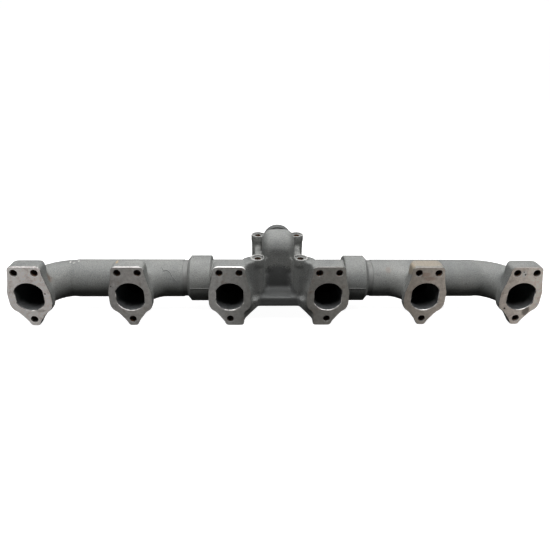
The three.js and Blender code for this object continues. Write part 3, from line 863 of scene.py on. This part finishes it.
def ramp(tree, value, *stops):
    """Colour that follows a value; each stop is a position and a colour."""
    node = add_node(tree, "ShaderNodeValToRGB", {"Fac": value})
    elements = node.color_ramp.elements
    while len(elements) < len(stops):
        elements.new(0.5)
    for element, (position, colour) in zip(elements, stops):
        element.position = position
        element.color = (*colour, 1) if isinstance(colour, tuple) else (colour, colour, colour, 1)
    return node.outputs["Color"]


def calc(tree, operation, first, second=0.0, third=0.0):
    return add_node(
        tree, "ShaderNodeMath", {0: first, 1: second, 2: third}, operation=operation,
    ).outputs["Value"]


def blend_colour(tree, share, under, over, mode="MIX"):
    links = {"Factor": share, "A": under, "B": over}
    node = add_node(tree, "ShaderNodeMix", data_type="RGBA", blend_type=mode)
    for name, value in links.items():
        socket = next(item for item in node.inputs if item.name == name and item.enabled)
        if isinstance(value, bpy.types.NodeSocket):
            tree.links.new(value, socket)
        else:
            socket.default_value = value if name == "Factor" else (*value, 1)
    return next(item for item in node.outputs if item.enabled)


def along_engine(tree, place):
    """0 at the left end of the engine and 1 at the right."""
    along = add_node(tree, "ShaderNodeSeparateXYZ", {"Vector": place}).outputs["X"]
    return add_node(
        tree, "ShaderNodeMapRange", {"Value": along, "From Min": -0.45, "From Max": 0.45},
    ).outputs["Result"]


def patch(tree, place, centre, stretch, ragged=0.5, grain=420):
    """1 inside a ragged patch round a point of the piece and 0 outside; stretch is its size each way."""
    size = tuple(1 / (value * MM) for value in stretch)
    shift = tuple(-value * MM for value in centre)
    moved = add_node(tree, "ShaderNodeVectorMath", {0: place, 1: shift}, operation="ADD").outputs[0]
    scaled = add_node(tree, "ShaderNodeVectorMath", {0: moved, 1: size}, operation="MULTIPLY").outputs[0]
    far = add_node(tree, "ShaderNodeVectorMath", {0: scaled}, operation="LENGTH").outputs["Value"]
    rough = noise(tree, place, grain, 4, 0.6)
    edge = calc(tree, "MULTIPLY_ADD", rough, -2 * ragged, ragged)
    return add_node(
        tree, "ShaderNodeMapRange", {"Value": calc(tree, "ADD", far, edge), "From Min": 0.75,
                                     "From Max": 1.1, "To Min": 1.0, "To Max": 0.0},
    ).outputs["Result"]


def bump(tree, shader, *layers):
    """Height layers as (value, strength, distance), finest last."""
    normal = None
    for value, strength, distance in layers:
        links = {"Height": value, "Strength": strength, "Distance": distance}
        if normal is not None:
            links["Normal"] = normal
        normal = add_node(tree, "ShaderNodeBump", links).outputs["Normal"]
    tree.links.new(normal, shader.inputs["Normal"])


def cast_skin():
    """Blasted grey iron as it leaves the foundry: sand grain, faint clouding, pale dust and rust marks, with
    painted shade in and round the pocket and on the rear outlet flange.
    """
    material, tree, shader, place = new_finish("cast_skin", 0.7, 0.15)
    clouds = noise(tree, place, 16, 4, 0.55)
    grain = noise(tree, place, 900, 3, 0.7)
    colour = ramp(tree, clouds, (0.3, (0.125, 0.130, 0.127)), (0.7, (0.185, 0.187, 0.178)))
    flecks = ramp(tree, grain, (0.36, 0.62), (0.5, 1.0), (0.68, 1.32))
    colour = blend_colour(tree, 1.0, colour, flecks, "MULTIPLY")
    # Marks: chalk, tan and rust stains, and painted shade in and round the pocket and on the outlet flange.
    for centre, stretch, paint, strength in SKIN_MARKS:
        share = calc(tree, "MULTIPLY", patch(tree, place, centre, stretch), strength)
        colour = blend_colour(tree, share, colour, paint)
    dust = ramp(tree, noise(tree, place, 260, 2, 0.5), (0.70, 0.0), (0.78, 0.35))
    colour = blend_colour(tree, dust, colour, (0.30, 0.29, 0.27))
    tree.links.new(colour, shader.inputs["Base Color"])
    tree.links.new(ramp(tree, grain, (0.3, 0.78), (0.7, 0.60)), shader.inputs["Roughness"])
    bump(
        tree, shader, (noise(tree, place, 70, 3, 0.5), 0.35, 0.0012),
        (noise(tree, place, 420, 4, 0.65), 0.55, 0.0006), (grain, 0.5, 0.0003),
    )
    return material


def ground_face():
    """Ground joint faces. The outer ones are painted bright as a painted reflection, and the middle ones are
    darker and browned, with pits and stains.
    """
    material, tree, shader, place = new_finish("ground_face", 0.40, 0.35)
    share = along_engine(tree, place)
    # Tone along the engine: the near-white outer faces are painted reflection; the middle faces are darker
    # and browned.
    colour = ramp(
        tree, share, (0.03, (0.97, 0.92, 0.88)), (0.11, (0.95, 0.88, 0.84)),
        (0.18, (0.42, 0.405, 0.39)), (0.235, (0.50, 0.48, 0.455)), (0.38, (0.52, 0.51, 0.49)),
        (0.44, (0.32, 0.315, 0.30)), (0.56, (0.30, 0.29, 0.27)), (0.63, (0.37, 0.355, 0.325)),
        (0.73, (0.38, 0.34, 0.295)), (0.81, (0.68, 0.61, 0.54)),
        (0.90, (0.52, 0.46, 0.41)), (0.98, (0.97, 0.87, 0.78)),
    )
    mottle = ramp(tree, noise(tree, place, 150, 5, 0.65), (0.3, 0.88), (0.7, 1.34))
    colour = blend_colour(tree, 1.0, colour, mottle, "MULTIPLY")
    squeezed = add_node(
        tree, "ShaderNodeVectorMath", {0: place, 1: (1.0, 1.0, 22.0)}, operation="MULTIPLY",
    ).outputs[0]
    lay = noise(tree, squeezed, 160, 3, 0.6)
    colour = blend_colour(tree, 1.0, colour, ramp(tree, lay, (0.3, 0.93), (0.7, 1.07)), "MULTIPLY")
    pits = ramp(tree, noise(tree, place, 520, 2, 0.4), (0.68, 0.0), (0.76, 0.85))
    colour = blend_colour(tree, pits, colour, (0.05, 0.04, 0.034))
    rusty = ramp(tree, noise(tree, place, 60, 4, 0.6), (0.56, 0.0), (0.74, 0.5))
    colour = blend_colour(tree, rusty, colour, (0.20, 0.125, 0.08))
    for centre, stretch, paint, strength in FACE_MARKS:
        mark = calc(tree, "MULTIPLY", patch(tree, place, centre, stretch, 0.6, 700), strength)
        colour = blend_colour(tree, mark, colour, paint)
    tree.links.new(colour, shader.inputs["Base Color"])
    polish = ramp(tree, noise(tree, place, 90, 3), (0.3, 0.36), (0.7, 0.58))
    tree.links.new(polish, shader.inputs["Roughness"])
    bump(tree, shader, (lay, 0.15, 0.0002), (noise(tree, place, 900, 3, 0.6), 0.2, 0.0002))
    return material


def worn_edge():
    """Painted highlight along the rounded top edges of the port flanges, brightest on the left-hand port of
    the middle casting.
    """
    material, tree, shader, place = new_finish("worn_edge", 0.45, 0.5)
    share = along_engine(tree, place)
    # The tone along the engine is painted highlight; noise breaks it up.
    bright = ramp(
        tree, share, (0.1, (0.40, 0.38, 0.37)), (0.3, (0.42, 0.41, 0.40)), (0.42, (0.85, 0.84, 0.82)),
        (0.55, (0.16, 0.155, 0.15)), (0.75, (0.17, 0.16, 0.145)), (0.95, (0.20, 0.19, 0.18)),
    )
    highlight_breakup = ramp(tree, noise(tree, place, 240, 4, 0.6), (0.32, 0.5), (0.5, 1.0))
    colour = blend_colour(tree, 1.0, bright, highlight_breakup, "MULTIPLY")
    tree.links.new(colour, shader.inputs["Base Color"])
    bump(tree, shader, (noise(tree, place, 700, 3), 0.3, 0.0003))
    return material


def rubbed_rim():
    """Painted highlight where the chamfer at the mouth of a port catches the light, broken up by noise."""
    material, tree, shader, place = new_finish("rubbed_rim", 0.42, 0.5)
    highlight_breakup = ramp(tree, noise(tree, place, 70, 4, 0.6), (0.42, (0.16, 0.155, 0.15)), (0.58, (0.85, 0.83, 0.80)))
    tree.links.new(highlight_breakup, shader.inputs["Base Color"])
    bump(tree, shader, (noise(tree, place, 800, 3), 0.25, 0.0002))
    return material


def passage_skin():
    """Rough cast passage with a dull grey-black film of soot."""
    material, tree, shader, place = new_finish("passage_skin", 0.75, 0.1)
    film = noise(tree, place, 45, 4, 0.6)
    colour = ramp(tree, film, (0.3, (0.028, 0.030, 0.031)), (0.7, (0.066, 0.069, 0.071)))
    tree.links.new(colour, shader.inputs["Base Color"])
    bump(
        tree, shader, (noise(tree, place, 120, 3), 0.4, 0.001), (noise(tree, place, 800, 3), 0.4, 0.0004),
    )
    return material


def hole_skin():
    """Drilled bolt holes, dark with a little rust."""
    material, tree, shader, place = new_finish("hole_skin", 0.6, 0.4)
    bloom = noise(tree, place, 130, 4, 0.65)
    colour = ramp(tree, bloom, (0.4, (0.028, 0.024, 0.021)), (0.68, (0.16, 0.075, 0.035)))
    tree.links.new(colour, shader.inputs["Base Color"])
    bump(tree, shader, (noise(tree, place, 900, 3), 0.3, 0.0003))
    return material


def turned_skin(name, tone, rough, metal):
    """Lathe-turned metal with fine rings round the pipe axis."""
    material, tree, shader, place = new_finish(name, rough, metal)
    squeezed = add_node(
        tree, "ShaderNodeVectorMath", {0: place, 1: (30.0, 1.0, 1.0)}, operation="MULTIPLY",
    ).outputs[0]
    rings = noise(tree, squeezed, 90, 3, 0.6)
    colour = ramp(
        tree, rings, (0.3, tuple(value * 0.8 for value in tone)), (0.7, tuple(value * 1.2 for value in tone)),
    )
    stain = ramp(tree, noise(tree, place, 70, 4, 0.6), (0.5, 0.0), (0.75, 0.6))
    colour = blend_colour(tree, stain, colour, (0.085, 0.080, 0.075))
    tree.links.new(colour, shader.inputs["Base Color"])
    bump(tree, shader, (rings, 0.3, 0.0002))
    return material


TAN = (0.30, 0.22, 0.12)
RUST = (0.17, 0.085, 0.045)
CHALK = (0.50, 0.49, 0.46)
# Painted shade for hollows and faces that the lamps leave dark.
PAINTED_SHADE = (0.055, 0.057, 0.057)
DARK = (0.035, 0.03, 0.026)
# Marks on the cast skin and on the ground faces: place and size in millimetres, paint and strength.
SKIN_MARKS = (
    # The next three marks are painted shade: round the turbocharger flange, in the pocket and on the rear
    # outlet flange.
    ((0, 18, -14), (46, 44, 26), PAINTED_SHADE, 0.85),
    ((0, 44, 14), (30, 10, 26), PAINTED_SHADE, 0.85),
    ((0, 134, 62), (60, 24, 44), PAINTED_SHADE, 0.85),
    ((-362.8, 68, 32), (1.5, 3, 2.4), CHALK, 0.7),
    ((-355.5, 64, 32), (2.6, 1.6, 2.4), CHALK, 0.6),
    ((-348.8, 70, 32), (1.6, 2.6, 2.4), CHALK, 0.65),
    ((-267, 20, 56), (2, 7, 3), TAN, 0.8),
    ((-381.8, 22, 28), (6, 9, 11), RUST, 0.45),
    ((-384, 32, 6), (5, 10, 14), RUST, 0.35),
    ((247, 16, 56), (32, 17, 7), TAN, 0.30),
    ((222, 12, 46), (5, 14, 12), TAN, 0.35),
    ((163, 38, 19), (2.2, 3, 2.2), CHALK, 0.85),
    ((193, 48, 28), (5, 8, 7), RUST, 0.2),
)
FACE_MARKS = (
    ((408, 0, 43), (4.2, 3, 6.5), (0.85, 0.82, 0.78), 0.85),
    ((410, 0, 42), (1.4, 2, 1.8), DARK, 0.9),
    ((406.5, 0, 46.5), (1.0, 2, 1.2), DARK, 0.9),
    ((427, 0, -28), (6.5, 3, 10), (0.12, 0.10, 0.085), 0.75),
    ((389, 0, -23), (1.9, 2, 1.9), DARK, 1.0),
    ((438.6, 0, 12.9), (2.4, 2, 3), (0.9, 0.88, 0.84), 0.8),
    ((444, 0, -15), (2.6, 2, 3.5), (0.9, 0.88, 0.84), 0.8),
    ((-386, 0, 6), (1.5, 2, 1.5), DARK, 0.9),
    ((-399, 0, -26), (9, 2, 3), DARK, 0.35),
    ((-276.8, 0, 20.2), (1.3, 2, 1.3), DARK, 0.9),
    ((242, 0, 42), (9, 3, 4), (0.42, 0.27, 0.20), 0.5),
    ((251, 0, 34), (10, 3, 4), (0.42, 0.27, 0.20), 0.45),
)


# ======== Sorting faces into finishes ========

def passage_depth(place, port_x, side, bend):
    """Distance from the centre line of a port passage."""
    lead = bend_lead(bend)
    if place.y <= lead:
        return math.hypot(place.x - port_x, place.z)
    along = (place.x - port_x) * side
    ring = math.hypot(along - bend, place.y - lead)
    return math.hypot(ring - bend, place.z) if along <= bend else math.inf


def in_passage(place, ports):
    if place.y < POCKET_BACK_Y + 0.5 * MM and abs(place.x) < POCKET_HALF + 1 * MM:
        return False
    in_pipe = abs(place.x) < PORT_X[5] - BEND_R + 0.5 * MM
    if in_pipe and math.hypot(place.y - PIPE_Y, place.z) < PIPE_BORE + 0.4 * MM:
        return True
    return any(passage_depth(place, *port) < PORT_ROUND + 0.3 * MM for port in ports)


def in_throat(place):
    """Whether a place is in the opening of the turbocharger face."""
    if abs(place.x) > THROAT_HALF + ROUND_SLACK or place.z > 1 * MM:
        return False
    return THROAT_FRONT_Y - ROUND_SLACK < place.y < THROAT_BACK_Y + ROUND_SLACK


def on_mouth(place, normal, ports):
    """Whether a face belongs to the chamfer at the mouth of a port."""
    if place.y > 1 * MM or normal.y > -0.2:
        return False
    return any(passage_depth(place, *port) < PORT_ROUND + 1.2 * MM for port in ports)


def in_head_bolt(place, ports):
    if not -ROUND_SLACK < place.y < 32 * MM:
        return False
    reach = BOLT_HOLE + ROUND_SLACK
    return any(
        math.hypot(place.x - port_x - x, place.z - z) < reach
        for port_x, _, _ in ports for x, z in head_bolt_places()
    )


def finish_of_end(place, normal):
    """Which finish a face of the right-hand end casting has."""
    ports = END_PORTS
    if normal.y < -SQUARE_ON and place.y < HEAD_SLACK:
        return "ground_face"
    if in_head_bolt(place, ports):
        return "hole_skin"
    # Chamfers at the port mouths get a painted highlight.
    if on_mouth(place, normal, ports):
        return "rubbed_rim"
    if in_passage(place, ports):
        return "passage_skin"
    if place.x < SPIGOT_SHOULDER_X + ROUND_SLACK:
        return "turned_spigot"
    return painted_highlight_or_cast(place, normal)


def painted_highlight_or_cast(place, normal):
    # Faces on the rounded top edge of a flange get a painted highlight.
    edge_lit = place.y < 1.8 * MM and normal.y < -0.12 and normal.z > 0.25 and place.z > 48 * MM
    return "worn_edge" if edge_lit else "cast_skin"


def finish_of_middle(place, normal):
    """Which finish a face of the middle casting has."""
    ports = MIDDLE_PORTS
    if normal.y < -SQUARE_ON and place.y < HEAD_SLACK:
        return "ground_face"
    if in_head_bolt(place, ports):
        return "hole_skin"
    from_axis = math.hypot(place.y - PIPE_Y, place.z)
    if abs(place.x) > SOCKET_FLOOR_X - ROUND_SLACK and from_axis < SOCKET_R + 3 * MM:
        return "turned_spigot"
    # Chamfers at the port mouths get a painted highlight.
    if on_mouth(place, normal, ports):
        return "rubbed_rim"
    if in_passage(place, ports):
        return "passage_skin"
    if normal.z < -SQUARE_ON and abs(place.z - TURBO_FACE_Z) < FLAT_SLACK:
        return "turned_spigot"
    if normal.y > SQUARE_ON and abs(place.y - OUTLET_FACE_Y) < FLAT_SLACK:
        return "turned_spigot"
    if math.hypot(place.x, place.z - OUTLET_Z) < OUTLET_BORE + ROUND_SLACK and place.y > MIDDLE_Y:
        return "passage_skin"
    for x, y in bolt_places():
        from_bolt = math.hypot(place.x - x, place.y - y)
        if from_bolt < COLUMN_R and normal.z > 0.9 and abs(place.z - COLUMN_TOP_Z) < FLAT_SLACK:
            return "spot_face"
        if from_bolt < COLUMN_R and normal.z > 0.9 and abs(place.z - SEAT_Z) < FLAT_SLACK:
            return "turned_spigot"
        if from_bolt < COLUMN_HOLE_R + ROUND_SLACK:
            return "hole_skin"
        if from_bolt < SPOT_FACE_R + ROUND_SLACK and place.z > SEAT_Z - ROUND_SLACK:
            return "spot_face"
    if in_throat(place):
        return "passage_skin"
    return painted_highlight_or_cast(place, normal)


END_PORTS = ((PORT_X[5], -1, BEND_R), (PORT_X[4], -1, BEND_R))
MIDDLE_PORTS = ((PITCH / 2, -1, MIDDLE_BEND_R), (-PITCH / 2, 1, MIDDLE_BEND_R))
FINISHES = {
    "cast_skin": cast_skin(),
    "ground_face": ground_face(),
    # The next two finishes are painted highlights on the flange tops and on the port mouth chamfers.
    "worn_edge": worn_edge(),
    "rubbed_rim": rubbed_rim(),
    "passage_skin": passage_skin(),
    "hole_skin": hole_skin(),
    "turned_spigot": turned_skin("turned_spigot", (0.135, 0.137, 0.132), 0.6, 0.2),
    "spot_face": turned_skin("spot_face", (0.30, 0.297, 0.287), 0.5, 0.3),
}


def give_finishes(obj, finish_of):
    names = list(FINISHES)
    obj.data.materials.clear()
    for name in names:
        obj.data.materials.append(FINISHES[name])
    for face in obj.data.polygons:
        face.material_index = names.index(finish_of(face.center, face.normal))


def hand_over(obj, body, node):
    """Smooth shading with crisp edges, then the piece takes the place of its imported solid."""
    obj.data.shade_smooth()
    obj.data.set_sharp_from_angle(angle=math.radians(35))
    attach(obj, body)
    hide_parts(node)


# ======== Assembly ========

right_end = end_casting()
give_finishes(right_end, finish_of_end)
left_end = mirrored(right_end, "left_end_casting")
for material in right_end.data.materials:
    left_end.data.materials.append(material)
add_casting_vein(left_end)
middle = middle_casting()
give_finishes(middle, finish_of_middle)
hand_over(right_end, "right_end", "right_end_section")
hand_over(left_end, "left_end", "left_end_section")
hand_over(middle, "center", "center_section")
ring_steel = turned_skin("ring_steel", (0.26, 0.255, 0.25), 0.3, 0.9)
for index in range(3):
    right_ring = sealing_ring(index)
    left_ring = mirrored(right_ring, f"left_sealing_ring_{index + 1}")
    for ring, side in ((right_ring, "right"), (left_ring, "left")):
        ring.data.materials.append(ring_steel)
        hand_over(ring, f"{side}_rings", f"{side}_seal_ring_{index + 1}")


# ======== Camera, floor and light ========

def photographer():
    data = bpy.data.cameras.new("camera")
    data.sensor_width = SENSOR_WIDTH
    data.lens = FOCAL_LENGTH
    camera = bpy.data.objects.new("camera", data)
    bpy.context.scene.collection.objects.link(camera)
    turn, rise, roll = (math.radians(angle) for angle in CAMERA_ANGLES)
    back = Vector((math.sin(turn) * math.cos(rise), -math.cos(turn) * math.cos(rise), math.sin(rise)))
    right = (-back).cross(Vector((0, 0, 1))).normalized()
    up = right.cross(-back)
    tilted = right * math.cos(roll) + up * math.sin(roll)
    up = up * math.cos(roll) - right * math.sin(roll)
    place = Vector(CAMERA_AIM) + back * CAMERA_FAR * MM
    camera.matrix_world = Matrix((
        (tilted.x, up.x, back.x, place.x),
        (tilted.y, up.y, back.y, place.y),
        (tilted.z, up.z, back.z, place.z),
        (0, 0, 0, 1),
    ))
    bpy.context.scene.camera = camera


def backdrop():
    """Pale paper floor that curves up all round the object."""
    def sheet(bm):
        flat, round_up, top = 3.5, 1.5, 6.0
        line = [(0, 0), (flat, 0)]
        for k in range(1, 9):
            angle = k * math.pi / 16
            line.append((flat + round_up * math.sin(angle), round_up * (1 - math.cos(angle))))
        line.append((flat + round_up, top))
        verts = [bm.verts.new((reach, 0, height)) for reach, height in line]
        edges = [bm.edges.new(pair) for pair in zip(verts, verts[1:])]
        bmesh.ops.spin(
            bm, geom=verts + edges, cent=(0, 0, 0), axis=(0, 0, 1), angle=2 * math.pi, steps=64,
            use_merge=True,
        )

    obj = made("backdrop", sheet)
    obj.data.transform(Matrix.Translation((0, 0, FLANGE_FOOT_Z - FLOOR_DROP)))
    obj.data.shade_smooth()
    material, _, shader, _ = new_finish("paper", 0.95, 0)
    shader.inputs["Base Color"].default_value = (0.3, 0.3, 0.3, 1)
    shader.inputs["Emission Color"].default_value = (1, 1, 1, 1)
    shader.inputs["Emission Strength"].default_value = PAPER_GLOW
    obj.data.materials.append(material)
    obj.visible_diffuse = False
    obj.visible_glossy = False


def soft_light(name, place, target, size, power):
    data = bpy.data.lights.new(name, "AREA")
    data.shape = "RECTANGLE"
    data.size, data.size_y = size
    data.energy = power
    light = bpy.data.objects.new(name, data)
    bpy.context.scene.collection.objects.link(light)
    light.location = place
    light.rotation_euler = (Vector(place) - Vector(target)).to_track_quat("Z", "Y").to_euler()


def room():
    """Dim room with a pale bench to each side in front, which the ground faces reflect."""
    world = bpy.data.worlds.new("room")
    bpy.context.scene.world = world
    world.use_nodes = True
    tree = world.node_tree
    way = add_node(tree, "ShaderNodeTexCoord").outputs["Generated"]
    parts = add_node(tree, "ShaderNodeSeparateXYZ", {"Vector": way}).outputs
    height = calc(tree, "MULTIPLY_ADD", parts["Z"], 0.5, 0.5)
    light = ramp(tree, height, (0.3, 0.006), (0.47, 0.014), (0.58, 0.03), (0.8, 0.07), (1.0, 0.10))
    beside = add_node(
        tree, "ShaderNodeMapRange",
        {"Value": calc(tree, "ABSOLUTE", parts["X"]), "From Min": 0.3, "From Max": 0.6, "To Max": 0.8},
    ).outputs["Result"]
    drop_away = ramp(tree, height, (0.18, 0.0), (0.24, 1.0), (0.42, 1.0), (0.5, 0.0))
    ahead = add_node(
        tree, "ShaderNodeMapRange", {"Value": parts["Y"], "From Min": -0.2, "From Max": -0.45},
    ).outputs["Result"]
    share = calc(tree, "MULTIPLY", calc(tree, "MULTIPLY", beside, drop_away), ahead)
    light = blend_colour(tree, share, light, (1.0, 0.98, 0.96))
    background = tree.nodes["Background"]
    tree.links.new(light, background.inputs["Color"])
    background.inputs["Strength"].default_value = 0.8


photographer()
backdrop()
room()
soft_light("overhead", (0, -0.30, 1.5), (0, 0.06, 0), (2.6, 0.7), 54)
soft_light("behind", (0, 1.15, 1.35), (0, 0.06, 0), (2.6, 0.5), 27)
bpy.context.scene.view_settings.view_transform = "Standard"
